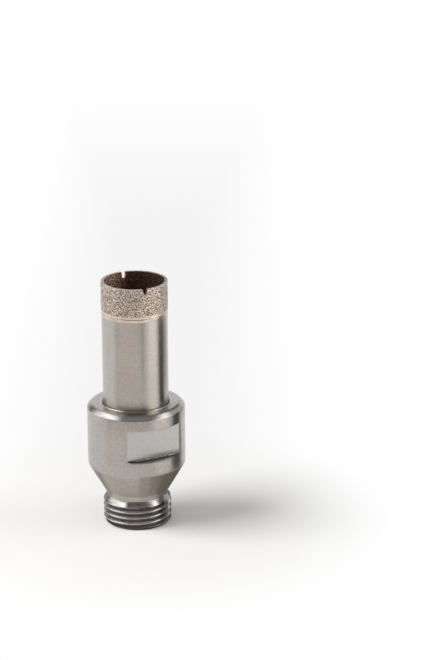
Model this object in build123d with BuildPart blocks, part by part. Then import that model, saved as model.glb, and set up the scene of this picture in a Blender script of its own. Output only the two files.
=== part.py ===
from build123d import *
import os
from math import radians, tan

# Diamond core bit for wet drilling: a turned steel shank with a male pipe thread, a thin
# steel tube seated in it, and a slotted diamond ring joined to the tube's end.
# The bit stands on its threaded end. Z runs up the axis from the centre of the end face.

# Threaded end, G 1/2 parallel pipe thread of 14 turns to the inch.
# The solid is plain at the crest diameter, and the relief lies just under the roots.
thread_diameter = 20.955
thread_pitch = 1.814
thread_depth_per_pitch = 0.640327
thread_length = 8.9
end_chamfer = 0.9
relief_width = 2.1
relief_undercut = 0.2
relief_fillet = 0.5

# Taper and round body. The taper ends a little under the thread's crests.
taper_under_crest = 0.33
taper_angle = 30.0
taper_blend = 2.0
body_diameter = 30.0
body_length = 19.5
shoulder_chamfer = 1.4

# Wrench flats, milled on two sides of the body
flats_across = 24.0
flats_height = 10.0
flats_below_shoulder = 4.8

# Coolant bore
coolant_bore = 12.0
bore_chamfer = 0.5

# Diamond ring. Its slots lie on one line across the rim, turned a little from the flats.
crown_diameter = 20.3
crown_wall = 1.0
crown_height = 8.7
rim_chamfer = 0.12
slot_width = 1.2
slot_depth = 2.2
slot_turn = -6.2

# Steel tube. It is thinner than the crown by the side clearance, inside and out.
side_clearance = 0.1
tube_stand_out = 28.3
socket_depth = 12.0
braze_clearance = 0.05
socket_mouth_chamfer = 0.4

# Braze ring and diamond-free backing ring, with a shallow groove between them
braze_height = 0.85
braze_stand_proud = 0.06
backing_height = 0.75
joint_groove = 0.18

# Radii that follow from the diameters
thread_radius = thread_diameter / 2
root_radius = thread_radius - thread_depth_per_pitch * thread_pitch
relief_radius = root_radius - relief_undercut
taper_small_radius = thread_radius - taper_under_crest
body_radius = body_diameter / 2
crown_radius = crown_diameter / 2
crown_inner_radius = crown_radius - crown_wall
tube_radius = crown_radius - side_clearance
tube_inner_radius = crown_inner_radius + side_clearance

# Heights up the axis, from the threaded end to the rim
lead_in = thread_radius - relief_radius
taper_start = thread_length + relief_width
body_start = taper_start + (body_radius - taper_small_radius) / tan(radians(taper_angle))
shoulder = body_start + body_length
socket_floor = shoulder - socket_depth
braze_start = shoulder + tube_stand_out
backing_start = braze_start + braze_height
crown_start = backing_start + backing_height
rim = crown_start + crown_height

os.makedirs("parts", exist_ok=True)

# Shank: half of the turned outline, spun about the axis
with BuildPart() as shank:
    with BuildSketch(Plane.XZ):
        with BuildLine():
            Polyline(
                (0, 0),
                (thread_radius, 0),
                (thread_radius, thread_length - lead_in),
                (relief_radius, thread_length),
                (relief_radius, taper_start),
                (taper_small_radius, taper_start),
                (body_radius, body_start),
                (body_radius, shoulder),
                (0, shoulder),
                close=True,
            )
        make_face()
    revolve(axis=Axis.Z)
    turned_edges = shank.edges().filter_by(GeomType.CIRCLE)
    relief_foot = turned_edges.group_by(SortBy.RADIUS)[0].sort_by(Axis.Z)[0]
    body_edges = turned_edges.group_by(SortBy.RADIUS)[-1].sort_by(Axis.Z)
    chamfer(turned_edges.group_by(Axis.Z)[0], end_chamfer)
    chamfer(body_edges[-1], shoulder_chamfer)
    fillet(body_edges[0], taper_blend)
    fillet(relief_foot, relief_fillet)
    # Two flats for an open-ended wrench, square to the Y axis
    with BuildSketch(Plane.XY.offset(shoulder - flats_below_shoulder)):
        Rectangle(body_diameter, body_diameter)
        Rectangle(body_diameter, flats_across, mode=Mode.SUBTRACT)
    extrude(amount=-flats_height, mode=Mode.SUBTRACT)
    # Coolant bore right through, opened out at the top into the tube's socket
    with Locations(Plane.XY.offset(shoulder)):
        CounterBoreHole(
            radius=coolant_bore / 2,
            counter_bore_radius=tube_radius + braze_clearance,
            counter_bore_depth=socket_depth,
        )
    bored_edges = shank.edges().filter_by(GeomType.CIRCLE)
    chamfer(bored_edges.group_by(Axis.Z)[0].sort_by(SortBy.RADIUS)[0], bore_chamfer)
    chamfer(bored_edges.group_by(Axis.Z)[-1].sort_by(SortBy.RADIUS)[0], socket_mouth_chamfer)
shank.part.label = "shank"
export_step(shank.part, "parts/shank.step")

# Core tube: stands on the socket's floor and carries the crown on its upper end
with BuildPart() as core_tube:
    with BuildSketch(Plane.XY.offset(socket_floor)):
        Circle(tube_radius)
        Circle(tube_inner_radius, mode=Mode.SUBTRACT)
    extrude(amount=braze_start - socket_floor)
core_tube.part.label = "core_tube"
export_step(core_tube.part, "parts/core_tube.step")

# Braze ring: solder between the tube's end and the backing, a little proud of the tube
with BuildPart() as braze_ring:
    with BuildSketch(Plane.XY.offset(braze_start)):
        Circle(tube_radius + braze_stand_proud)
        Circle(tube_inner_radius, mode=Mode.SUBTRACT)
    extrude(amount=braze_height)
    upper_edges = braze_ring.edges().filter_by(GeomType.CIRCLE).group_by(Axis.Z)[-1]
    chamfer(upper_edges.sort_by(SortBy.RADIUS)[-1], joint_groove)
braze_ring.part.label = "braze_ring"
export_step(braze_ring.part, "parts/braze_ring.step")

# Backing ring: as thick as the crown, with no diamond in it
with BuildPart() as backing_ring:
    with BuildSketch(Plane.XY.offset(backing_start)):
        Circle(crown_radius)
        Circle(crown_inner_radius, mode=Mode.SUBTRACT)
    extrude(amount=backing_height)
    lower_edges = backing_ring.edges().filter_by(GeomType.CIRCLE).group_by(Axis.Z)[0]
    chamfer(lower_edges.sort_by(SortBy.RADIUS)[-1], joint_groove)
backing_ring.part.label = "backing_ring"
export_step(backing_ring.part, "parts/backing_ring.step")

# Diamond ring: two round-bottomed slots face each other across the rim
with BuildPart() as diamond_ring:
    with BuildSketch(Plane.XY.offset(crown_start)):
        Circle(crown_radius)
        Circle(crown_inner_radius, mode=Mode.SUBTRACT)
    extrude(amount=crown_height)
    rim_edges = diamond_ring.edges().filter_by(GeomType.CIRCLE).group_by(Axis.Z)[-1]
    chamfer(rim_edges, rim_chamfer)
    with BuildSketch(Plane.XZ.rotated((0, 0, slot_turn))):
        with Locations((0, rim)):
            SlotOverall(2 * slot_depth, slot_width, rotation=90)
    extrude(amount=crown_diameter, both=True, mode=Mode.SUBTRACT)
diamond_ring.part.label = "diamond_ring"
export_step(diamond_ring.part, "parts/diamond_ring.step")
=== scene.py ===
import bmesh
import bpy
from math import acos, cos, pi, radians, sin, tan
from mathutils import Matrix, Vector
import numpy as np


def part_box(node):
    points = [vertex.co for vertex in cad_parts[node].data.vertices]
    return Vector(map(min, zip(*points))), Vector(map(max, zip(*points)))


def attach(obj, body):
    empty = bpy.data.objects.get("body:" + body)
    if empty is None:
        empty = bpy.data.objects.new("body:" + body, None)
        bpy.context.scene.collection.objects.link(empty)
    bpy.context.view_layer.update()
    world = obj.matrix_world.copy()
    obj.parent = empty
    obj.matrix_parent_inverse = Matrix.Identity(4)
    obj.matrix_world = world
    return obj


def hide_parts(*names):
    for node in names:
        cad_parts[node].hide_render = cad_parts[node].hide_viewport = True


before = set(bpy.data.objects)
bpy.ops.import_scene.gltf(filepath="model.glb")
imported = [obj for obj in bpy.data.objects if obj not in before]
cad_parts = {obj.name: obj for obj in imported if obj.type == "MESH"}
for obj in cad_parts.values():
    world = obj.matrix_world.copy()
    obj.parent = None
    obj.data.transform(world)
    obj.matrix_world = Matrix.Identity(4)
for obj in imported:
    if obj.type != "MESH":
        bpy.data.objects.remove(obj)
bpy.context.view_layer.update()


# Shank: one piece of steel, turned on a lathe. A right-hand pipe thread runs out into a
# relief groove under a taper, the round body has two flats milled for a wrench, and a bore
# goes right through and opens out at the top into the socket for the tube.
shank_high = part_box("shank")[1]
tube_low, tube_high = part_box("core_tube")
body_radius = shank_high.x
shoulder = shank_high.z

thread_radius = 0.0104775
thread_pitch = 0.001814
thread_depth = 0.640327 * thread_pitch
thread_round = 0.137329 * thread_pitch
flank_angle = radians(27.5)
thread_length = 0.0089
first_crest = 0.00093
run_out_start = 0.0074
run_out_end = 0.0083
run_out_share = 0.75
end_chamfer = 0.0009
turned_edge = 0.00002

relief_radius = 0.009116
relief_top = 0.011
relief_foot_round = 0.0005
taper_radius = 0.0101475
taper_top = 0.019405
taper_blend = 0.002
small_round = 0.00012

half_flats = 0.012
flat_top = shoulder - 0.0048
flat_foot = flat_top - 0.010
flat_edge = 0.00005
ledge_edge_round = 0.00012
ledge_foot_round = 0.0006
top_foot_round = 0.00015

shoulder_chamfer = 0.0014
chamfer_foot_round = 0.0004
chamfer_top_round = 0.0018
socket_radius = 0.0101
socket_mouth = 0.0004
lip_width = 0.00035
lip_height = 0.00018
socket_floor = tube_low.z
bore_radius = 0.006
bore_chamfer = 0.0005


def outline(corners, steps=4):
    """Distances from the axis and heights of points along a line through the corners, each
    given as radius, height and rounding. A corner becomes an arc that touches both sides:
    its points turn evenly from the one touching point's direction to the other's. A rounding
    of nothing keeps the corner, and so do the two ends."""
    place = np.array([corner[:2] for corner in corners])
    points = [place[:1]]
    for before, here, after, corner in zip(place, place[1:], place[2:], corners[1:]):
        rounding = corner[2]
        if rounding == 0:
            points.append(here[None])
            continue
        back = (before - here) / np.linalg.norm(before - here)
        ahead = (after - here) / np.linalg.norm(after - here)
        half = acos(np.clip(back @ ahead, -1, 1)) / 2
        centre = here + (back + ahead) / np.linalg.norm(back + ahead) * rounding / sin(half)
        turn = pi - 2 * half
        share = np.linspace(0, 1, steps + 1)[:, None]
        start = here + back * rounding / tan(half) - centre
        end = here + ahead * rounding / tan(half) - centre
        arc = (np.sin((1 - share) * turn) * start + np.sin(share * turn) * end) / sin(turn)
        points.append(centre + arc)
    points.append(place[-1:])
    return np.concatenate(points).T


def lower_of(first, second, blend):
    """The smaller of two lengths, with the edge where they cross rounded off: it is lowered by
    blend times the logarithm of one plus the falling exponential of their difference."""
    apart = np.abs(first - second)
    return np.minimum(first, second) - blend * np.log1p(np.exp(-apart / blend))


def new_object(name, data):
    """An object in the scene, from its mesh, lamp or camera."""
    thing = bpy.data.objects.new(name, data)
    bpy.context.scene.collection.objects.link(thing)
    return thing


def ring(name, radius, height, angle):
    """A closed ring from two grids, radius and height, with a row for each point round the
    section and a column for each angle round the axis. x is the radius times the cosine of
    the angle, and y the radius times its sine. Both directions of the grid join up, and
    points that coincide are merged."""
    coincident = 1e-7
    sharp_edge = radians(35)
    points = np.stack([radius * np.cos(angle), radius * np.sin(angle), height], axis=-1)
    here = np.arange(radius.size).reshape(radius.shape)
    beside = np.roll(here, -1, axis=1)
    above = np.roll(here, -1, axis=0)
    beyond = np.roll(above, -1, axis=1)
    faces = np.stack([here, beside, beyond, above], axis=-1)
    mesh = bpy.data.meshes.new(name)
    mesh.from_pydata(points.reshape(-1, 3).tolist(), [], faces.reshape(-1, 4).tolist())
    editing = bmesh.new()
    editing.from_mesh(mesh)
    bmesh.ops.remove_doubles(editing, verts=editing.verts, dist=coincident)
    editing.to_mesh(mesh)
    editing.free()
    mesh.shade_smooth()
    mesh.set_sharp_from_angle(angle=sharp_edge)
    return new_object(name, mesh)


def thread_skin(height, angle):
    """Radius of the threaded end at a height and an angle. The thread's section repeats along
    the axis once a pitch and climbs one pitch a turn, counter-clockwise from above. Measured
    from a crest it is an arc, a straight flank, and the same arc the other way up at the
    root. Between the run-out's two heights the turns grow shallower, by a share that rises
    along an S-curve. The end chamfer and the cone at the relief cut the skin off, and the
    least radius counts."""
    climb = first_crest + thread_pitch * angle / (2 * pi)
    off_crest = np.abs((height - climb + thread_pitch / 2) % thread_pitch - thread_pitch / 2)
    off_root = thread_pitch / 2 - off_crest
    arc_reach = thread_round * cos(flank_angle)
    crest = thread_radius - thread_round + np.sqrt(
        np.maximum(thread_round**2 - off_crest**2, 0))
    root = thread_radius - thread_depth + thread_round - np.sqrt(
        np.maximum(thread_round**2 - off_root**2, 0))
    flank_start = thread_radius - thread_round * (1 - sin(flank_angle))
    flank = flank_start - (off_crest - arc_reach) / tan(flank_angle)
    turns = np.where(off_crest < arc_reach, crest, np.where(off_root < arc_reach, root, flank))
    run = np.clip((height - run_out_start) / (run_out_end - run_out_start), 0, 1)
    kept = 1 - run_out_share * run * run * (3 - 2 * run)
    turns = thread_radius - (thread_radius - turns) * kept
    end_cone = thread_radius - end_chamfer + height
    relief_cone = relief_radius + thread_length - height
    cut_off = np.minimum(end_cone, relief_cone)
    return lower_of(turns, cut_off + 0 * turns, turned_edge)


def turned_shank():
    """The shank's section as rows of the grid, upwards on the outside and down the bore. Only
    the thread and the flats change round the axis: a flat's radius is half the width over the
    flats, divided by the sine of the angle, wherever that is less than the body's. A flat's
    edges and feet are quarter circles that shrink where the cut runs out at its corners."""
    columns = 240
    thread_rows = 176
    flat_rows = 4
    least_sine = 0.1
    corner = acos(half_flats / body_radius)
    beside_corner = np.radians([-1.2, -0.8, -0.45, -0.2, 0, 0.2, 0.45, 0.8, 1.2])
    corners = [pi / 2 - corner, pi / 2 + corner, -pi / 2 - corner, -pi / 2 + corner]
    even = np.linspace(-pi, pi, columns, endpoint=False)
    angle = np.unique(np.concatenate([even, np.add.outer(corners, beside_corner).ravel()]))
    level = np.ones_like(angle)

    thread_height = np.linspace(0, thread_length - relief_foot_round / 3, thread_rows)[:, None]
    thread = thread_skin(thread_height, angle)

    relief_and_taper = outline([
        (relief_radius + relief_foot_round, thread_length - relief_foot_round, 0),
        (relief_radius, thread_length, relief_foot_round),
        (relief_radius, relief_top, small_round),
        (taper_radius, relief_top, small_round),
        (body_radius, taper_top, taper_blend),
        (body_radius, flat_foot - 2 * ledge_edge_round, 0),
    ], steps=8)[:, 1:]

    flat = half_flats / np.maximum(np.abs(np.sin(angle)), least_sine)
    skin = lower_of(flat, body_radius * level, flat_edge)
    cut = body_radius - skin
    room = np.clip(cut / (ledge_edge_round + ledge_foot_round), 0, 1)
    turn = np.radians(np.linspace(0, 90, 5))[:, None]
    edge = ledge_edge_round * room
    foot = ledge_foot_round * room
    edge_radius = body_radius - edge * (1 - np.cos(turn))
    edge_rise = edge * (np.sin(turn) - 1)
    foot_radius = skin + foot * (1 - np.sin(turn))
    foot_rise = foot * (1 - np.cos(turn))
    top_foot = top_foot_round * room
    top_foot_radius = skin + top_foot * (1 - np.sin(turn))
    top_foot_rise = top_foot * (1 - np.cos(turn))
    up_the_flat = np.linspace(flat_foot + ledge_foot_round, flat_top - top_foot_round,
                              flat_rows + 2)[1:-1, None]
    flats_radius = [edge_radius, foot_radius, np.repeat(skin[None], flat_rows, axis=0),
                    top_foot_radius[::-1], edge_radius[::-1]]
    flats_height = [flat_foot + edge_rise, flat_foot + foot_rise, up_the_flat * level,
                    flat_top - top_foot_rise[::-1], flat_top - edge_rise[::-1]]

    top_and_bore = outline([
        (body_radius, flat_top + 2 * ledge_edge_round, 0),
        (body_radius, shoulder - shoulder_chamfer, chamfer_foot_round),
        (body_radius - shoulder_chamfer, shoulder, chamfer_top_round),
        (socket_radius + socket_mouth + lip_width, shoulder, small_round),
        (socket_radius + socket_mouth + lip_width / 2, shoulder + lip_height, small_round),
        (socket_radius, shoulder - socket_mouth, small_round / 2),
        (socket_radius, socket_floor, 0),
        (bore_radius, socket_floor, 0),
        (bore_radius, bore_chamfer, 0),
        (bore_radius + bore_chamfer, 0, 0),
    ])

    radius = [thread, relief_and_taper[0][:, None] * level, *flats_radius,
              top_and_bore[0][:, None] * level]
    height = [thread_height * level, relief_and_taper[1][:, None] * level, *flats_height,
              top_and_bore[1][:, None] * level]
    return ring("turned_shank", np.concatenate(radius), np.concatenate(height), angle)


def node_group(name, inputs, outputs):
    """An empty shader node group with number inputs, given as name and default, and with
    number outputs. It comes back with its input and output nodes."""
    group = bpy.data.node_groups.new(name, "ShaderNodeTree")
    for label, value in inputs:
        socket = group.interface.new_socket(
            label, in_out="INPUT", socket_type="NodeSocketFloat")
        socket.default_value = value
    for label in outputs:
        group.interface.new_socket(label, in_out="OUTPUT", socket_type="NodeSocketFloat")
    return group, group.nodes.new("NodeGroupInput"), group.nodes.new("NodeGroupOutput")


def put(tree, value, socket):
    """Sets an input to a number, or links another node's output to it."""
    if isinstance(value, (int, float)):
        socket.default_value = value
    else:
        tree.links.new(value, socket)


def math_node(tree, operation, first, second=None, third=None):
    """A Math node whose inputs are numbers or other nodes' sockets. It gives its output."""
    node = tree.nodes.new("ShaderNodeMath")
    node.operation = operation
    for socket, value in zip(node.inputs, (first, second, third)):
        if value is not None:
            put(tree, value, socket)
    return node.outputs[0]


def product(tree, first, *others):
    """A mask multiplied by other masks or numbers, one after another."""
    for other in others:
        first = math_node(tree, "MULTIPLY", first, other)
    return first


def away_from(tree, value, middle):
    """How far a value lies from a middle one, either way."""
    return math_node(tree, "ABSOLUTE", math_node(tree, "SUBTRACT", value, middle))


def noise_node(tree, vector, scale, detail=2.0, roughness=0.5):
    """A Noise Texture on a vector socket. It gives its value output, about a half on average."""
    node = tree.nodes.new("ShaderNodeTexNoise")
    node.inputs["Detail"].default_value = detail
    put(tree, roughness, node.inputs["Roughness"])
    put(tree, scale, node.inputs["Scale"])
    tree.links.new(vector, node.inputs["Vector"])
    return node.outputs[0]


def range_node(tree, value, low, high, to_low=0.0, to_high=1.0):
    """A smooth Map Range node from one pair of numbers to another. It gives its output."""
    node = tree.nodes.new("ShaderNodeMapRange")
    node.interpolation_type = "SMOOTHSTEP"
    tree.links.new(value, node.inputs["Value"])
    for label, number in (("From Min", low), ("From Max", high),
                          ("To Min", to_low), ("To Max", to_high)):
        node.inputs[label].default_value = number
    return node.outputs[0]


def fade_node(tree, value, full, gone):
    """A mask that is 1 up to one number and fades to nothing at a higher one."""
    return range_node(tree, value, full, gone, 1.0, 0.0)


def band_node(tree, value, start, full, fading, gone):
    """A mask that rises between the first two numbers and fades between the last two."""
    return product(tree, range_node(tree, value, start, full),
                   fade_node(tree, value, fading, gone))


def mix_colours(tree, share, first, second):
    """A Mix node between two colours, given as tuples or sockets. It gives its output."""
    node = tree.nodes.new("ShaderNodeMix")
    node.data_type = "RGBA"
    tree.links.new(share, node.inputs["Factor"])
    for socket, colour in zip((node.inputs[6], node.inputs[7]), (first, second)):
        if isinstance(colour, tuple):
            socket.default_value = (*colour, 1.0)
        else:
            tree.links.new(colour, socket)
    return node.outputs[2]


def object_place(tree):
    """The piece's own coordinates."""
    return tree.nodes.new("ShaderNodeTexCoord").outputs["Object"]


def split(tree, vector):
    """The X, Y and Z of a vector socket."""
    parts = tree.nodes.new("ShaderNodeSeparateXYZ")
    tree.links.new(vector, parts.inputs[0])
    return parts.outputs["X"], parts.outputs["Y"], parts.outputs["Z"]


def from_axis(tree, x, y):
    """Distance from the axis: the root of x squared plus y squared."""
    squares = math_node(tree, "ADD", product(tree, x, x), product(tree, y, y))
    return math_node(tree, "SQRT", squares)


def turning_marks_group():
    """Fine rings left by the lathe. The noise reads only the distance from the axis and the
    height, so its lines run round the axis on walls, cones and end faces alike. Height is the
    rings' own, and Polish is broad bands of finer and coarser finish."""
    millimetres = 1000.0
    band_scale = 900.0
    group, given, result = node_group(
        "turning_marks", [("Lines per millimetre", 9.0)], ["Height", "Polish"])
    x, y, z = split(group, object_place(group))
    section = group.nodes.new("ShaderNodeCombineXYZ")
    group.links.new(from_axis(group, x, y), section.inputs["X"])
    group.links.new(z, section.inputs["Z"])
    scale = product(group, given.outputs["Lines per millimetre"], millimetres)
    rings = noise_node(group, section.outputs[0], scale, detail=1.0)
    bands = noise_node(group, section.outputs[0], band_scale)
    group.links.new(rings, result.inputs["Height"])
    group.links.new(bands, result.inputs["Polish"])
    return group


def handling_group():
    """What use and handling leave on bare metal: Smudge is broad soft patches, Scratch is thin
    short lines where a stretched noise passes through its middle value, kept to patches of
    their own, and Speck is small dark pits at the middles of Voronoi cells."""
    streak_scale = 900.0
    streak_turn = (0.5, 0.35, 0.8)
    streak_stretch = (1.0, 0.16, 1.0)
    streak_half_width = 0.012
    scratched_patch_scale = 260.0
    speck_scale = 900.0
    group, given, result = node_group(
        "handling", [("Patch scale", 150.0)], ["Smudge", "Scratch", "Speck"])
    place = object_place(group)
    smudge = noise_node(group, place, given.outputs["Patch scale"], detail=3.0)
    group.links.new(range_node(group, smudge, 0.3, 0.7), result.inputs["Smudge"])
    turned = group.nodes.new("ShaderNodeMapping")
    turned.inputs["Rotation"].default_value = streak_turn
    turned.inputs["Scale"].default_value = streak_stretch
    group.links.new(place, turned.inputs["Vector"])
    streaks = noise_node(group, turned.outputs[0], streak_scale, detail=3.0)
    line = fade_node(group, away_from(group, streaks, 0.5), 0.0, streak_half_width)
    patches = range_node(group, noise_node(group, place, scratched_patch_scale), 0.52, 0.66)
    group.links.new(product(group, line, patches), result.inputs["Scratch"])
    specks = group.nodes.new("ShaderNodeTexVoronoi")
    specks.inputs["Scale"].default_value = speck_scale
    group.links.new(place, specks.inputs["Vector"])
    group.links.new(fade_node(group, specks.outputs["Distance"], 0.05, 0.16),
                    result.inputs["Speck"])
    return group


def mottling_group():
    """Cloudy mottling. Share is a noise taken through an S-curve, times the most there is."""
    group, given, result = node_group(
        "mottling", [("Cloud scale", 1900.0), ("Roughness", 0.75), ("Most", 0.36)], ["Share"])
    cloudy = noise_node(group, object_place(group), given.outputs["Cloud scale"], detail=4.0,
                        roughness=given.outputs["Roughness"])
    share = product(group, range_node(group, cloudy, 0.36, 0.64), given.outputs["Most"])
    group.links.new(share, result.inputs["Share"])
    return group


turning_marks = turning_marks_group()
handling = handling_group()
mottling = mottling_group()


def place_group(tree, group, **values):
    """A group node in a material, with its inputs set by name."""
    node = tree.nodes.new("ShaderNodeGroup")
    node.node_tree = group
    for label, value in values.items():
        node.inputs[label.replace("_", " ")].default_value = value
    return node


def new_material(name):
    """A node material with its tree and its Principled shader."""
    material = bpy.data.materials.new(name)
    material.use_nodes = True
    return material, material.node_tree, material.node_tree.nodes["Principled BSDF"]


def dress(piece, material):
    """Puts the material in the piece's only slot."""
    if piece.data.materials:
        piece.material_slots[0].material = material
    else:
        piece.data.materials.append(material)


def stretched_gloss(tree, shader):
    """Marks that run round the axis stretch reflections along it. This is the shader's
    anisotropy, turned a quarter from a tangent that runs round the axis."""
    shader.inputs["Anisotropic"].default_value = 0.65
    shader.inputs["Anisotropic Rotation"].default_value = 0.25
    tangent = tree.nodes.new("ShaderNodeTangent")
    tangent.direction_type = "RADIAL"
    tangent.axis = "Z"
    tree.links.new(tangent.outputs[0], shader.inputs["Tangent"])


def fine_relief(tree, shader, height, strength, distance):
    """A Bump node from a height socket to the shader's normal."""
    relief = tree.nodes.new("ShaderNodeBump")
    relief.inputs["Strength"].default_value = strength
    relief.inputs["Distance"].default_value = distance
    tree.links.new(height, relief.inputs["Height"])
    tree.links.new(relief.outputs[0], shader.inputs["Normal"])


def turned_steel():
    """Bright turned steel, and what marks it. The flats are milled, cooler and less mottled.
    The turns are brighter on their crests and have painted shade in their roots, the lower
    taper has painted shade, and the end face and its corner are painted dark as shade. The
    ledge under each flat is painted dark as shade, with a broken painted highlight along it.
    Painted shade fades upwards from it on the flat and darkens the flat's right end, and the
    wall under the ledge has painted shade. The lip round the tube has a painted highlight. Each
    mask is a band of height, of distance from the axis or from the middle plane, or of place
    along the flat. Grey mottling and specks of dirt lie over it all."""
    soot = (0.20, 0.18, 0.16)
    root_shade_heights = (0.0071, 0.0076)
    under_lead_in = (0.0072, 0.0078)
    smooth_thread = (0.0070, 0.0092)
    end_shade_heights = (0.0004, 0.0011)
    taper_shade_heights = (0.0108, 0.0112, 0.0180, 0.0195)
    on_flat_height = (flat_foot, flat_foot + 0.0001, flat_top, flat_top + 0.0001)
    on_ledge_height = (flat_foot - 0.0002, flat_foot - 0.0001, flat_foot + 0.0003,
                       flat_foot + 0.0007)
    under_ledge_shade_heights = (flat_foot - 0.00055, flat_foot - 0.00025, flat_foot - 0.0001,
                          flat_foot)
    lip_highlight_heights = (shoulder + 0.00002, shoulder + 0.00008)
    ledge_highlight_middle = half_flats + 0.00032
    ledge_highlight_half_width = (0.00008, 0.00020)
    ledge_highlight_ends = (0.0060, 0.0078)
    flat_end_shade_place = (0.00835, 0.0086)

    material, tree, shader = new_material("turned_steel")
    stretched_gloss(tree, shader)
    marks = place_group(tree, turning_marks, Lines_per_millimetre=7.0)
    wear = place_group(tree, handling, Patch_scale=130.0)
    place = object_place(tree)
    x, y, z = split(tree, place)
    distance = from_axis(tree, x, y)
    off_middle = math_node(tree, "ABSOLUTE", y)

    bright = mix_colours(tree, wear.outputs["Smudge"], (0.475, 0.45, 0.42), (0.515, 0.495, 0.47))
    near_flat = fade_node(tree, away_from(tree, off_middle, half_flats), 0.0, 0.00004)
    on_flat = product(tree, near_flat, band_node(tree, z, *on_flat_height))
    milled = mix_colours(tree, on_flat, bright, (0.495, 0.492, 0.482))

    crests = mix_colours(tree, fade_node(tree, z, *under_lead_in), milled, (0.57, 0.575, 0.585))
    # Painted shade in the roots of the turns
    painted_root_shade = product(tree, fade_node(tree, z, *root_shade_heights), fade_node(
        tree, distance, thread_radius - thread_depth, thread_radius - 0.2 * thread_depth))
    turns = mix_colours(tree, painted_root_shade, crests, (0.18, 0.155, 0.145))

    inside_body = fade_node(tree, distance, body_radius - 0.0002, body_radius - 0.00005)
    on_ledge = product(tree, inside_body, band_node(tree, z, *on_ledge_height))
    # The ledge under each flat is painted dark as shade
    painted_dark_ledge = mix_colours(tree, on_ledge, turns, (0.055, 0.05, 0.05))
    # A broken painted highlight along the ledge, bright and less metallic
    ledge_highlight_line = fade_node(tree, away_from(tree, off_middle, ledge_highlight_middle), *ledge_highlight_half_width)
    broken = range_node(tree, noise_node(tree, place, 3200.0), 0.40, 0.56)
    off_ends = fade_node(tree, math_node(tree, "ABSOLUTE", x), *ledge_highlight_ends)
    painted_ledge_highlight = product(tree, ledge_highlight_line, broken, off_ends, on_ledge)
    ledge_highlighted = mix_colours(tree, product(tree, painted_ledge_highlight, 0.9), painted_dark_ledge, (0.84, 0.87, 0.92))
    tree.links.new(math_node(tree, "MULTIPLY_ADD", painted_ledge_highlight, -0.8, 1.0), shader.inputs["Metallic"])

    # Painted highlight on the lip round the tube
    painted_lip_highlight = range_node(tree, z, *lip_highlight_heights)
    lip_highlighted = mix_colours(tree, painted_lip_highlight, ledge_highlighted, (0.85, 0.84, 0.82))
    in_lines = range_node(tree, marks.outputs["Height"], 0.3, 0.7, 0.0, 0.12)
    lined = mix_colours(tree, in_lines, lip_highlighted, soot)
    # Painted shade on the lower taper: darker and warmer
    painted_taper_shade = product(tree, band_node(tree, z, *taper_shade_heights), 0.7)
    taper_shaded = mix_colours(tree, painted_taper_shade, lined, (0.45, 0.40, 0.345))

    # Painted shade on each flat: it fades upwards from the ledge, reaches higher towards the
    # right, and darkens the flat's right end
    low_flat_shade = range_node(tree, z, flat_foot, flat_foot + 0.0014, 0.75, 0.0)
    broad_flat_shade = range_node(tree, z, flat_foot + 0.0004, flat_foot + 0.0021, 0.92, 0.0)
    rightwards = range_node(tree, x, -0.008, 0.003)
    flat_shade_spread = math_node(tree, "MAXIMUM", low_flat_shade, product(tree, broad_flat_shade, rightwards))
    flat_end_shade = range_node(tree, x, *flat_end_shade_place, 0.0, 0.8)
    painted_flat_shade = product(tree, on_flat, math_node(tree, "MAXIMUM", flat_end_shade, flat_shade_spread))
    flat_shaded = mix_colours(tree, painted_flat_shade, taper_shaded, (0.15, 0.14, 0.125))
    # Painted shade on the wall just under the ledge, beside the flat
    past_flat = range_node(tree, off_middle, half_flats + 0.0002, half_flats + 0.0009, 0.0, 0.8)
    painted_under_ledge_shade = product(tree, band_node(tree, z, *under_ledge_shade_heights), past_flat)
    shaded = mix_colours(tree, painted_under_ledge_shade, flat_shaded, (0.12, 0.115, 0.11))
    # The end face and its corner are painted dark as shade, where the bit stands on the floor
    end_shade_painted = mix_colours(tree, range_node(tree, z, *end_shade_heights, 0.95, 0.0), shaded,
                        (0.03, 0.025, 0.02))

    clouds = place_group(tree, mottling, Cloud_scale=1900.0, Roughness=0.75, Most=0.36)
    less_on_flat = math_node(tree, "MULTIPLY_ADD", on_flat, -0.5, 1.0)
    mottle = product(tree, less_on_flat, clouds.outputs["Share"])
    mottled = mix_colours(tree, mottle, end_shade_painted, soot)
    dirt = product(tree, wear.outputs["Speck"], 0.25)
    tree.links.new(mix_colours(tree, dirt, mottled, (0.20, 0.17, 0.15)),
                   shader.inputs["Base Color"])

    finish = range_node(tree, marks.outputs["Polish"], 0.3, 0.7, 0.28, 0.34)
    smoother = math_node(tree, "MULTIPLY_ADD", fade_node(tree, z, *smooth_thread), -0.12, finish)
    scuffed = math_node(tree, "MULTIPLY_ADD", wear.outputs["Scratch"], 0.05, smoother)
    tree.links.new(scuffed, shader.inputs["Roughness"])
    depth = math_node(tree, "MULTIPLY_ADD", wear.outputs["Scratch"], -0.15,
                      marks.outputs["Height"])
    fine_relief(tree, shader, depth, 0.05, 0.00003)
    return material


shank = turned_shank()
dress(shank, turned_steel())
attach(shank, "root")
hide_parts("shank")


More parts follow.
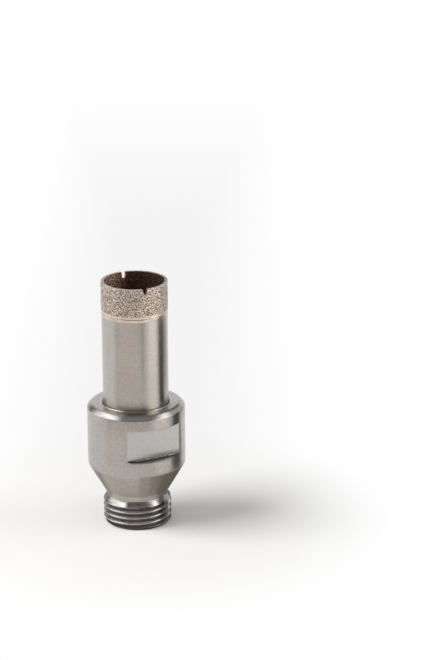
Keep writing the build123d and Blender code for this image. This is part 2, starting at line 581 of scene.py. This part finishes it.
# Core tube: thin steel tube, drawn and finely ground, seated in the shank's socket. It is the
# solid itself, with a finer and a warmer finish than the shank's.
def tube_steel():
    """Finely ground steel tube: warm, evenly satin, with faint rings, some mottling and a few
    dark specks."""
    material, tree, shader = new_material("tube_steel")
    shader.inputs["Metallic"].default_value = 1.0
    stretched_gloss(tree, shader)
    marks = place_group(tree, turning_marks, Lines_per_millimetre=11.0)
    wear = place_group(tree, handling, Patch_scale=170.0)
    smooth = mix_colours(tree, wear.outputs["Smudge"], (0.48, 0.452, 0.42), (0.515, 0.492, 0.465))
    in_lines = range_node(tree, marks.outputs["Height"], 0.3, 0.7, 0.0, 0.12)
    lined = mix_colours(tree, in_lines, smooth, (0.22, 0.19, 0.17))
    clouds = place_group(tree, mottling, Cloud_scale=1700.0, Roughness=0.7, Most=0.20)
    mottled = mix_colours(tree, clouds.outputs["Share"], lined, (0.20, 0.18, 0.16))
    dirt = product(tree, wear.outputs["Speck"], 0.35)
    tree.links.new(mix_colours(tree, dirt, mottled, (0.22, 0.18, 0.16)),
                   shader.inputs["Base Color"])
    finish = range_node(tree, marks.outputs["Polish"], 0.3, 0.7, 0.29, 0.35)
    tree.links.new(finish, shader.inputs["Roughness"])
    fine_relief(tree, shader, marks.outputs["Height"], 0.03, 0.00002)
    return material


dress(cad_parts["core_tube"], tube_steel())


# Braze ring: silver solder between the tube and the diamond ring's backing. It crept a little
# down the tube when it was hot, and fills the joint's groove along part of the way round.
braze_low, braze_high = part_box("braze_ring")
tube_radius = tube_high.x
tube_wall = 0.0008
joint_groove = 0.00018
filled_groove = 0.00004
solder_creep = 0.00010
creep_swing = 0.00007
belly_swing = 0.00002
open_groove_start = radians(-143.4)
open_groove_end = radians(-91.7)
open_groove_soft = radians(4)
far_side_start = radians(75)


def solder_bead():
    """The bead's section as rows of the grid: in from the tube, a round belly that stands
    proud, and the groove under the backing. Its creep down the tube is a slow wave round the
    axis, a sum of a few sines with whole numbers of turns. The groove is open along one
    stretch between two logistic curves, and on the far side by a logistic curve of the wave."""
    columns = 240
    wave_shift = 17
    wave_middle = 0.25
    wave_soft = 0.08
    most_open = 0.8
    angle = np.linspace(-pi, pi, columns, endpoint=False)
    rng = np.random.default_rng(11)
    wave = np.arange(2, 13)[:, None]
    waves = (rng.normal(size=wave.shape) / np.sqrt(wave)
             * np.sin(wave * angle + rng.uniform(0, 2 * pi, wave.shape))).sum(axis=0)
    waves = waves / np.abs(waves).max()
    creep = solder_creep + creep_swing * waves
    belly = braze_high.x + belly_swing * np.roll(waves, columns // 3)
    open_front = (1 / (1 + np.exp(-(angle - open_groove_start) / open_groove_soft))
                  / (1 + np.exp((angle - open_groove_end) / open_groove_soft)))
    shifted = np.roll(waves, wave_shift)
    open_elsewhere = most_open / (1 + np.exp(-(shifted - wave_middle) / wave_soft))
    from_front = np.abs(angle - (open_groove_start + open_groove_end) / 2)
    far_share = np.where(from_front > far_side_start, open_elsewhere, 0)
    open_share = np.maximum(open_front, far_share)
    groove = filled_groove + (joint_groove - filled_groove) * open_share
    inner = tube_radius - tube_wall + 0 * angle
    skin = tube_radius + 0 * angle
    low = braze_low.z + 0 * angle
    high = braze_high.z + 0 * angle
    radius = np.stack([inner, skin, skin, (skin + belly) / 2, belly, belly, belly,
                       belly - groove, inner])
    height = np.stack([low, low, low - creep, low - creep * 0.35, low + creep * 0.6,
                       (low + high) / 2, high - groove, high, high])
    return ring("solder_bead", radius, height, angle)


def solder():
    """Pale silver solder, fairly smooth, with dull patches and small pits."""
    material, tree, shader = new_material("silver_solder")
    shader.inputs["Metallic"].default_value = 1.0
    wear = place_group(tree, handling, Patch_scale=420.0)
    pale = mix_colours(tree, wear.outputs["Smudge"], (0.73, 0.655, 0.555), (0.625, 0.54, 0.44))
    dirt = product(tree, wear.outputs["Speck"], 0.4)
    tree.links.new(mix_colours(tree, dirt, pale, (0.25, 0.18, 0.13)),
                   shader.inputs["Base Color"])
    tree.links.new(range_node(tree, wear.outputs["Smudge"], 0.0, 1.0, 0.30, 0.48),
                   shader.inputs["Roughness"])
    pits = noise_node(tree, object_place(tree), 2600.0, detail=3.0)
    fine_relief(tree, shader, pits, 0.4, 0.00004)
    return material


bead = solder_bead()
dress(bead, solder())
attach(bead, "root")
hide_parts("braze_ring")


# Backing ring: plain sintered bronze under the diamond layer. It is the solid itself. Its
# upper edge is ragged where the first diamonds begin.
backing_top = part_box("backing_ring")[1].z
ragged_height = 0.0008


def plain_bronze():
    """Pale sintered bronze: solid pale metal with a ragged brown upper edge and fine pores.
    The edge is ragged because a noise is added to the height before it is compared."""
    material, tree, shader = new_material("plain_bronze")
    shader.inputs["Metallic"].default_value = 1.0
    wear = place_group(tree, handling, Patch_scale=500.0)
    place = object_place(tree)
    ragged = noise_node(tree, place, 1500.0, detail=3.0)
    raised = math_node(tree, "MULTIPLY_ADD", ragged, ragged_height, split(tree, place)[2])
    gritty = range_node(tree, raised, backing_top + 0.00018, backing_top + 0.00030)
    pale = mix_colours(tree, wear.outputs["Smudge"], (0.83, 0.765, 0.68), (0.72, 0.645, 0.56))
    tree.links.new(mix_colours(tree, gritty, pale, (0.52, 0.43, 0.36)),
                   shader.inputs["Base Color"])
    tree.links.new(range_node(tree, wear.outputs["Smudge"], 0.0, 1.0, 0.36, 0.52),
                   shader.inputs["Roughness"])
    fine_relief(tree, shader, noise_node(tree, place, 3000.0, detail=3.0), 0.5, 0.00005)
    return material


dress(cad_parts["backing_ring"], plain_bronze())


# Diamond ring: diamond grit in sintered bronze, rough from use, with two round-bottomed slots
# that face each other across the rim and let the water out.
crown_low, crown_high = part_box("diamond_ring")
crown_radius = crown_high.x
crown_wall = 0.001
rim = crown_high.z
rim_round = 0.00010
grit_height = 0.00008
slot_heading = radians(-96.7)
slot_offset = -0.00009
slot_half_width = 0.00068
slot_depth = 0.0022
slot_flare = 0.00016
slot_taper = 0.75
front_slot_depth = 0.00165
front_slot_taper = 0.33


def grit_ring():
    """The wall's section goes up the outside, over the rim and down the inside, on an even
    grid. Each point moves out from the wall by the relief: evenly random numbers, blurred by
    a bell curve about one grain wide in both directions of the grid, raised a little and
    flattened at the tops by a hyperbolic tangent, then sunk. The relief fades out at the
    foot, and near the rim it only lowers the surface."""
    step = 0.00012
    grain_cells = 0.6
    raised = 0.35
    sunk = 0.75
    fade_height = 0.0003
    rim_wear = 0.9
    rim_loss = 0.00001
    inner_radius = crown_radius - crown_wall
    foot = crown_low.z
    columns = int(2 * pi * crown_radius / step)
    angle = np.linspace(-pi, pi, columns, endpoint=False)
    wall_rows = int((rim - foot) / step)
    rise = np.linspace(foot, rim - rim_round, wall_rows)
    turn = np.radians([22.5, 45, 67.5, 90])
    over = rim_round * (1 - np.cos(turn))
    up = rim_round * (np.sin(turn) - 1)
    across = np.linspace(crown_radius - rim_round, inner_radius + rim_round, 8)[1:-1]
    outer = crown_radius + 0 * rise
    radius = np.concatenate([outer, crown_radius - over, across, inner_radius + over[::-1],
                             outer - crown_wall])
    height = np.concatenate([rise, rim + up, rim + 0 * across, rim + up[::-1], rise[::-1]])
    out_from_axis = np.concatenate([1 + 0 * rise, np.cos(turn), 0 * across, -np.cos(turn)[::-1],
                                    -1 + 0 * rise])
    upwards = np.concatenate([0 * rise, np.sin(turn), 1 + 0 * across, np.sin(turn)[::-1],
                              0 * rise])
    rng = np.random.default_rng(5)
    spread = [np.exp(-2 * (pi * np.fft.fftfreq(count) * grain_cells) ** 2)
              for count in (radius.size, columns)]
    white = rng.normal(size=(radius.size, columns))
    relief = np.fft.ifft2(np.fft.fft2(white) * spread[0][:, None] * spread[1]).real
    relief = np.tanh(relief / relief.std() + raised) - sunk
    from_foot = np.clip((height - foot) / fade_height, 0, 1)[:, None]
    on_rim = np.clip((height - rim + fade_height) / fade_height, 0, 1)[:, None]
    lift = grit_height * relief * from_foot
    lift = lift * (1 - rim_wear * on_rim) - rim_loss * on_rim
    return ring("grit_ring", radius[:, None] + lift * out_from_axis[:, None],
                height[:, None] + lift * upwards[:, None], angle)


def slot_section(depth, taper):
    """Across and up of the slot's section: a half circle at the bottom, whose radius is the
    slot's half width times the taper, sides that lean out, and at the rim two quarter circles
    that flare it open."""
    below_rim = 0.00005
    turn = np.radians(np.linspace(0, 180, 17))
    low = slot_half_width * taper
    bottom = rim - depth + low
    quarter = np.radians(np.linspace(90, 0, 7))
    flare_side = slot_half_width + slot_flare * (1 - np.sin(quarter))
    flare_up = rim - slot_flare * (1 - np.cos(quarter)) - below_rim
    top_side = slot_half_width + slot_flare
    right = np.concatenate([[top_side], flare_side[::-1]])
    right_up = np.concatenate([[rim + slot_depth], flare_up[::-1]])
    across = np.concatenate([right, low * np.cos(turn), -right[::-1]])
    up = np.concatenate([right_up, bottom - low * np.sin(turn), right_up[::-1]])
    return across[:, None], up[:, None]


def slot_cutter():
    """A long bar along the slots' line: straight lines from the back slot's section to the
    front slot's, which is shallower and narrower at its bottom."""
    lengthwise = np.array([cos(slot_heading), sin(slot_heading), 0])
    sideways = np.array([-sin(slot_heading), cos(slot_heading), 0])
    upwards = np.array([0, 0, 1])
    reach = 1.2 * crown_radius
    back_across, back_up = slot_section(slot_depth, slot_taper)
    front_across, front_up = slot_section(front_slot_depth, front_slot_taper)
    points = np.concatenate([
        (back_across + slot_offset) * sideways + back_up * upwards - reach * lengthwise,
        (front_across + slot_offset) * sideways + front_up * upwards + reach * lengthwise])
    count = len(back_across)
    here = np.arange(count)
    after = (here + 1) % count
    sides = np.stack([here, here + count, after + count, after], axis=-1).tolist()
    mesh = bpy.data.meshes.new("slot_cutter")
    mesh.from_pydata(points.tolist(), [], [*sides, here.tolist(), (here[::-1] + count).tolist()])
    editing = bmesh.new()
    editing.from_mesh(mesh)
    bmesh.ops.recalc_face_normals(editing, faces=editing.faces)
    editing.to_mesh(mesh)
    editing.free()
    return new_object("slot_cutter", mesh)


def cut_slots(piece):
    """Takes the bar out of the ring, and leaves the finished mesh with no modifier."""
    sharp_edge = radians(50)
    cutter = slot_cutter()
    cut = piece.modifiers.new("slots", "BOOLEAN")
    cut.operation = "DIFFERENCE"
    cut.solver = "EXACT"
    cut.object = cutter
    evaluated = piece.evaluated_get(bpy.context.evaluated_depsgraph_get())
    finished = bpy.data.meshes.new_from_object(evaluated)
    piece.modifiers.clear()
    piece.data = finished
    bpy.data.objects.remove(cutter)
    finished.shade_smooth()
    finished.set_sharp_from_angle(angle=sharp_edge)


def along(tree, place, direction):
    """How far a place lies along a direction of length one: their dot product."""
    node = tree.nodes.new("ShaderNodeVectorMath")
    node.operation = "DOT_PRODUCT"
    tree.links.new(place, node.inputs[0])
    node.inputs[1].default_value = direction
    return node.outputs["Value"]


def diamond_bronze():
    """Rough bronze with diamond grit. How far a point lies above or below the plain wall says
    whether it is a grain or a pit: pits are dark, partly as painted shade, and grains are
    paler. The rim is worn bright in places. Inside the ring the bronze is painted dark brown
    as shade, and lighter on one side as painted light. The slots' walls are painted dark as
    shade: they are where a point lies nearer to the slots' line than the slot's half width at
    that height."""
    inner_radius = crown_radius - crown_wall
    middle = crown_radius - crown_wall / 2
    lit_side = (-0.90, 0.435, 0)
    across_slots = (-sin(slot_heading), cos(slot_heading), 0)
    slot_floor = rim - front_slot_depth
    flare_foot = rim - 0.0004
    bottom_half_width = 0.00024
    wall_skin = 0.00003
    worn_rim = (rim - 0.00022, rim - 0.00008)

    material, tree, shader = new_material("diamond_bronze")
    shader.inputs["Metallic"].default_value = 0.85
    place = object_place(tree)
    x, y, z = split(tree, place)
    distance = from_axis(tree, x, y)
    # Pits are darker, partly as painted shade by depth below the wall, and grains are paler
    proud = range_node(tree, away_from(tree, distance, middle),
                       crown_wall / 2 - grit_height * 1.2, crown_wall / 2 + grit_height * 0.5)
    fine = range_node(tree, noise_node(tree, place, 4200.0), 0.40, 0.54)
    grains = product(tree, proud, math_node(tree, "MULTIPLY_ADD", fine, 0.4, 0.35))
    shade = math_node(tree, "MULTIPLY_ADD", fine, 0.35, grains)
    speckle = mix_colours(tree, shade, (0.045, 0.032, 0.024), (0.955, 0.832, 0.722))
    patches = range_node(tree, noise_node(tree, place, 420.0), 0.3, 0.7, 0.0, 0.25)
    toned = mix_colours(tree, patches, speckle, (0.45, 0.37, 0.31))

    on_rim = range_node(tree, z, *worn_rim)
    worn = range_node(tree, noise_node(tree, place, 900.0, detail=3.0), 0.40, 0.60, 0.35, 0.85)
    rimmed = mix_colours(tree, product(tree, on_rim, worn), toned, (0.70, 0.64, 0.57))
    # Inside the ring the bronze is painted dark brown as shade, and lighter on one side as painted
    # light
    inside = range_node(tree, distance, inner_radius, middle, 0.96, 0.0)
    painted_lit_side = range_node(tree, along(tree, place, lit_side), 0.0015, 0.0085)
    inside_shade_colour = mix_colours(tree, painted_lit_side, (0.135, 0.072, 0.05), (0.60, 0.43, 0.335))
    inside_shaded = mix_colours(tree, inside, rimmed, inside_shade_colour)

    # The slots' walls are painted dark as shade
    off_line = away_from(tree, along(tree, place, across_slots), slot_offset)
    half_width = range_node(tree, z, slot_floor, flare_foot, bottom_half_width,
                            slot_half_width + wall_skin)
    past_wall = math_node(tree, "SUBTRACT", off_line, half_width)
    over_floor = range_node(tree, z, slot_floor - 0.00005, slot_floor, 0.0, 0.9)
    painted_slot_shade = product(tree, fade_node(tree, past_wall, 0.0, 0.00005), over_floor)
    tree.links.new(mix_colours(tree, painted_slot_shade, inside_shaded, (0.05, 0.03, 0.022)),
                   shader.inputs["Base Color"])
    rough = range_node(tree, shade, 0.0, 1.0, 0.58, 0.34)
    tree.links.new(math_node(tree, "MULTIPLY_ADD", inside, -0.12, rough),
                   shader.inputs["Roughness"])
    fine_relief(tree, shader, fine, 0.5, 0.00004)
    return material


crown = grit_ring()
cut_slots(crown)
dress(crown, diamond_bronze())
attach(crown, "root")
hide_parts("diamond_ring")


# Camera: above the bit and far back, with a long lens. Its heading is turned from the Y axis
# towards the right, and it looks down and is tilted a little.
camera_place = Vector((-0.32497, -0.67212, 0.31119))
camera_heading = radians(27.79)
camera_down = radians(18.503)
camera_roll = radians(-0.299)
focal_pixels = 2590.0
frame_pixels = 660
film = 36.0

camera = new_object("camera", bpy.data.cameras.new("camera"))
camera.data.sensor_width = film
camera.data.lens = focal_pixels / frame_pixels * film
camera.data.clip_start = 0.01
camera.data.clip_end = 20.0
camera.matrix_world = (Matrix.Translation(camera_place)
                       @ Matrix.Rotation(-camera_heading, 4, "Z")
                       @ Matrix.Rotation(pi / 2 - camera_down, 4, "X")
                       @ Matrix.Rotation(camera_roll, 4, "Z"))
bpy.context.scene.camera = camera


# Floor: one wide matt white sheet of paper on which the bit stands. It keeps the bit's soft
# shadow near it, and is plain white further out.
def white_floor():
    """A square sheet at the height on which the bit stands, nearly white and matt. Away from
    the bit it also glows for the camera and for reflections: white, but painted a little grey
    as shade in a strip behind the bit, as seen by the camera, that ends some way off."""
    half = 3.0
    to_the_right = (cos(camera_heading), -sin(camera_heading), 0)
    straight_on = (sin(camera_heading), cos(camera_heading), 0)
    glow_start = (0.030, 0.085)
    shade_strip_start = (-0.045, 0.0)
    shade_strip_sides = (0.008, 0.062)
    shade_strip_end = (0.28, 0.62)
    mesh = bpy.data.meshes.new("floor")
    mesh.from_pydata([(-half, -half, 0), (half, -half, 0), (half, half, 0), (-half, half, 0)],
                     [], [(0, 1, 2, 3)])
    floor = new_object("floor", mesh)
    material, tree, shader = new_material("white_sheet")
    place = object_place(tree)
    tree.links.new(mix_colours(tree, noise_node(tree, place, 6.0), (0.93, 0.93, 0.92),
                               (0.94, 0.94, 0.935)), shader.inputs["Base Color"])
    shader.inputs["Roughness"].default_value = 0.8
    shader.inputs["Specular IOR Level"].default_value = 0.0
    from_bit = from_axis(tree, *split(tree, place)[:2])

    rays = tree.nodes.new("ShaderNodeLightPath").outputs
    mirrored = math_node(tree, "MAXIMUM", rays["Is Glossy Ray"], rays["Is Transmission Ray"])
    seen = math_node(tree, "MAXIMUM", rays["Is Camera Ray"], mirrored)
    aside = math_node(tree, "ABSOLUTE", along(tree, place, to_the_right))
    beside = range_node(tree, aside, *shade_strip_sides)
    beyond = range_node(tree, from_bit, *shade_strip_end)
    in_front = fade_node(tree, along(tree, place, straight_on), *shade_strip_start)
    white = math_node(tree, "MAXIMUM", in_front, math_node(tree, "MAXIMUM", beside, beyond))
    glow = tree.nodes.new("ShaderNodeEmission")
    # The glow is grey, as painted shade, in the strip behind the bit, and white elsewhere
    tree.links.new(mix_colours(tree, white, (0.90, 0.90, 0.90), (1.0, 1.0, 1.0)),
                   glow.inputs["Color"])
    both = tree.nodes.new("ShaderNodeMixShader")
    tree.links.new(product(tree, range_node(tree, from_bit, *glow_start), seen),
                   both.inputs[0])
    tree.links.new(shader.outputs[0], both.inputs[1])
    tree.links.new(glow.outputs[0], both.inputs[2])
    tree.links.new(both.outputs[0], tree.nodes["Material Output"].inputs["Surface"])
    dress(floor, material)


white_floor()


# Light: soft boxes, of which some only shed light and some only show in the metal, and cards
# that show in the metal too. All stand round the bit at a bearing from the camera's side,
# which grows towards the right.
aim = Vector((0, 0, 0.04))
camera_bearing = radians(-115.8)
lamp_distance = 0.9
daylight = (1.0, 0.998, 0.99)


def round_the_bit(bearing, elevation, distance):
    """A point at a bearing from the camera's side, an elevation and a distance from the bit."""
    heading = camera_bearing + radians(bearing)
    tilt = radians(elevation)
    return aim + distance * Vector((cos(heading) * cos(tilt), sin(heading) * cos(tilt), sin(tilt)))


def soft_box(name, bearing, elevation, width, height, brightness, colour, mirrored):
    """An area lamp that faces the bit. Its power is its brightness times four times its area.
    A mirrored one only shows in the metal, and any other only sheds light."""
    lamp = bpy.data.lights.new(name, "AREA")
    lamp.shape = "RECTANGLE"
    lamp.size = width
    lamp.size_y = height
    lamp.energy = 4 * width * height * brightness
    lamp.color = colour
    box = new_object(name, lamp)
    box.location = round_the_bit(bearing, elevation, lamp_distance)
    box.rotation_euler = (aim - box.location).to_track_quat("-Z", "Y").to_euler()
    box.visible_camera = False
    box.visible_glossy = mirrored
    box.visible_diffuse = not mirrored


soft_box("key_box", -79, 44, 0.62, 0.42, 6.9, daylight, False)
soft_box("left_box", -93, 53, 0.80, 0.26, 3.0, (0.98, 0.99, 1.0), True)
soft_box("right_box", 98, 50, 0.40, 0.20, 2.7, (1.0, 0.985, 0.96), True)
soft_box("front_box", 10, 60, 0.60, 0.60, 0.70, daylight, False)
soft_box("right_fill", 82, 45, 0.50, 0.25, 2.2, daylight, False)
soft_box("front_glow", 2, 71, 0.60, 0.30, 0.42, (1.0, 0.97, 0.95), True)


def mirrored_card(name, corners, colour):
    """A flat card seen only in the bit's reflections, where it shows as its colour."""
    mesh = bpy.data.meshes.new(name)
    mesh.from_pydata(corners, [], [tuple(range(len(corners)))])
    piece = new_object(name, mesh)
    material, _, shader = new_material(name)
    shader.inputs["Base Color"].default_value = (0, 0, 0, 1)
    shader.inputs["Specular IOR Level"].default_value = 0.0
    shader.inputs["Emission Color"].default_value = (*colour, 1.0)
    shader.inputs["Emission Strength"].default_value = 1.0
    dress(piece, material)
    piece.visible_camera = False
    piece.visible_shadow = False
    piece.visible_diffuse = False


def upright_card(name, bearing, distance, width, bottom, top, colour):
    """A card square to the bit. Bearing and distance are those of its middle."""
    middle = round_the_bit(bearing, 0, distance)
    across = Vector((middle.y, -middle.x, 0)).normalized() * width / 2
    corners = [(middle.x + side * across.x, middle.y + side * across.y, up)
               for side, up in ((-1, bottom), (1, bottom), (1, top), (-1, top))]
    mirrored_card(name, corners, colour)


def lying_card(name, first_bearing, last_bearing, near, far, colour):
    """A part of a ring round the bit, a little above the floor."""
    height = 0.0006
    points = 9
    headings = [camera_bearing + radians(bearing) for bearing in
                np.linspace(first_bearing, last_bearing, points)]
    corners = ([(near * cos(heading), near * sin(heading), height) for heading in headings]
               + [(far * cos(heading), far * sin(heading), height) for heading in headings[::-1]])
    mirrored_card(name, corners, colour)


# Mirrored by the tube, the body and the diamond ring, from left to right
upright_card("left_edge", -63, 0.12, 0.022, 0.0, 0.037, (0.68, 0.61, 0.55))
upright_card("warm_card", -22, 0.13, 0.325, 0.0, 0.037, (0.90, 0.82, 0.745))
upright_card("grey_card", 25, 0.11, 0.022, 0.015, 0.055, (0.40, 0.38, 0.36))
upright_card("bright_card", 60, 0.16, 0.10, 0.0, 0.20, (1.46, 1.39, 1.29))
upright_card("high_card", 66, 0.11, 0.060, 0.065, 0.13, (2.9, 2.74, 2.53))
upright_card("dark_high", 94.5, 0.051, 0.025, 0.018, 0.060, (0.01, 0.008, 0.006))
upright_card("dark_low", 95.5, 0.051, 0.031, 0.0, 0.018, (0.02, 0.015, 0.01))
upright_card("right_edge", 119, 0.06, 0.026, 0.026, 0.056, (0.52, 0.50, 0.47))
# Mirrored by the shoulder and its chamfer
upright_card("left_wall", -101, 0.40, 0.41, 0.10, 0.40, (1.65, 1.65, 1.65))
upright_card("dark_board", -139, 0.38, 0.17, 0.10, 0.30, (0.03, 0.03, 0.03))
upright_card("pale_spoke", -162, 0.20, 0.07, 0.22, 0.386, (1.3, 1.27, 1.22))
upright_card("dark_spoke", 152, 0.20, 0.12, 0.125, 0.33, (0.0, 0.0, 0.0))
# Mirrored by the outer ends of the thread's turns
upright_card("left_thread", -140, 0.021, 0.016, 0.0, 0.012, (0.50, 0.48, 0.46))
upright_card("right_thread", 130, 0.021, 0.016, 0.0, 0.011, (0.16, 0.145, 0.13))
# Mirrored by the taper and the thread's lower flanks: painted reflections of the floor near the
# bit, darker where they stand for its shade
lying_card("left_patch", -175, -100, 0.0135, 0.034, (0.42, 0.40, 0.37))
lying_card("pale_patch", 5, 32, 0.0128, 0.028, (0.68, 0.64, 0.59))
lying_card("half_dark_patch", 32, 62, 0.0128, 0.030, (0.42, 0.385, 0.35))
lying_card("dark_patch", 62, 172, 0.0135, 0.034, (0.22, 0.20, 0.18))


def pale_room():
    """The world, which reads only the direction in the row's frame: pale behind the bit, brown
    on the camera's side and dark overhead. The camera sees it as white, and so do reflections
    as far as they look behind the bit and not overhead."""
    up_high = (0.35, 0.8)
    to_the_back = (-0.55, 0.25)
    world = bpy.data.worlds.new("room")
    bpy.context.scene.world = world
    world.use_nodes = True
    tree = world.node_tree
    turned = tree.nodes.new("ShaderNodeMapping")
    turned.vector_type = "POINT"
    turned.inputs["Rotation"].default_value = (0, 0, camera_heading)
    tree.links.new(tree.nodes.new("ShaderNodeTexCoord").outputs["Generated"],
                   turned.inputs["Vector"])
    forwards, upwards = split(tree, turned.outputs[0])[1:]
    behind = range_node(tree, forwards, *to_the_back)
    walls = mix_colours(tree, behind, (0.26, 0.19, 0.15), (0.95, 0.94, 0.92))
    room = mix_colours(tree, range_node(tree, upwards, *up_high), walls, (0.10, 0.105, 0.115))
    rays = tree.nodes.new("ShaderNodeLightPath").outputs
    mirrored = math_node(tree, "MAXIMUM", rays["Is Glossy Ray"], rays["Is Transmission Ray"])
    backdrop = product(tree, mirrored, behind, fade_node(tree, upwards, *up_high))
    seen = math_node(tree, "MAXIMUM", rays["Is Camera Ray"], backdrop)
    tree.links.new(mix_colours(tree, seen, room, (1.0, 1.0, 1.0)),
                   tree.nodes["Background"].inputs["Color"])


pale_room()
bpy.context.scene.view_settings.view_transform = "Standard"
